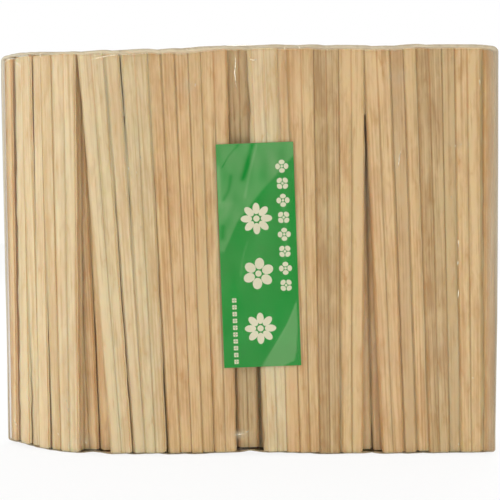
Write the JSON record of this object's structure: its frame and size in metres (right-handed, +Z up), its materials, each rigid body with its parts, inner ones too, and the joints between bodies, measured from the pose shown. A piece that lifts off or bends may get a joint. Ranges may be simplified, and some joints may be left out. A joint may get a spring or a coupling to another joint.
{
  "type": "pack of disposable wooden chopsticks",
  "caption": "Sealed clear film pack of split-type wooden chopsticks with a plain green label, standing on the ends of its sticks.",
  "frame": {"origin": "middle of the box round the pack, on the surface it stands on", "axes": "+X along the pack's width, to the right seen from the front; -Y out of the front with the label; +Z up along the sticks"},
  "size_m": [0.2638, 0.054, 0.2132],
  "materials": {
    "wood_pale": "bare sawn and planed, pale cream",
    "wood_straw": "bare sawn and planed, straw",
    "wood_tan": "bare sawn and planed, tan",
    "clear_film": "clear, glossy, wrinkled",
    "green_label": "printed paper, plain marks in cream"
  },
  "bodies": {
    "root": {"back_pair_01": "wood_pale", "back_pair_02": "wood_tan", "back_pair_03": "wood_tan", "back_pair_04": "wood_straw", "back_pair_05": "wood_pale", "back_pair_06": "wood_pale", "back_pair_07": "wood_tan", "back_pair_08": "wood_straw", "back_pair_09": "wood_straw", "back_pair_10": "wood_pale", "back_pair_11": "wood_tan", "back_pair_12": "wood_tan", "back_pair_13": "wood_straw", "back_pair_14": "wood_pale", "back_pair_15": "wood_pale", "back_pair_16": "wood_tan", "back_pair_17": "wood_straw", "back_pair_18": "wood_straw", "back_pair_19": "wood_pale", "back_pair_20": "wood_tan", "back_pair_21": "wood_tan", "back_pair_22": "wood_straw", "back_pair_23": "wood_pale", "back_pair_24": "wood_pale", "film": "clear_film", "front_pair_01": "wood_pale", "front_pair_02": "wood_pale", "front_pair_03": "wood_pale", "front_pair_04": "wood_pale", "front_pair_05": "wood_pale", "front_pair_06": "wood_pale", "front_pair_07": "wood_pale", "front_pair_08": "wood_pale", "front_pair_09": "wood_straw", "front_pair_10": "wood_straw", "front_pair_11": "wood_straw", "front_pair_12": "wood_straw", "front_pair_13": "wood_straw", "front_pair_14": "wood_tan", "front_pair_15": "wood_pale", "front_pair_16": "wood_straw", "front_pair_17": "wood_straw", "front_pair_18": "wood_tan", "front_pair_19": "wood_straw", "front_pair_20": "wood_straw", "front_pair_21": "wood_tan", "front_pair_22": "wood_straw", "front_pair_23": "wood_tan", "front_pair_24": "wood_tan", "front_pair_25": "wood_straw", "label": "green_label", "pairs_at_left_end": "wood_straw", "pairs_at_right_end": "wood_straw", "pairs_behind_back": "wood_straw", "pairs_behind_front": "wood_straw", "pairs_in_middle": "wood_straw"}
  },
  "joints": []
}
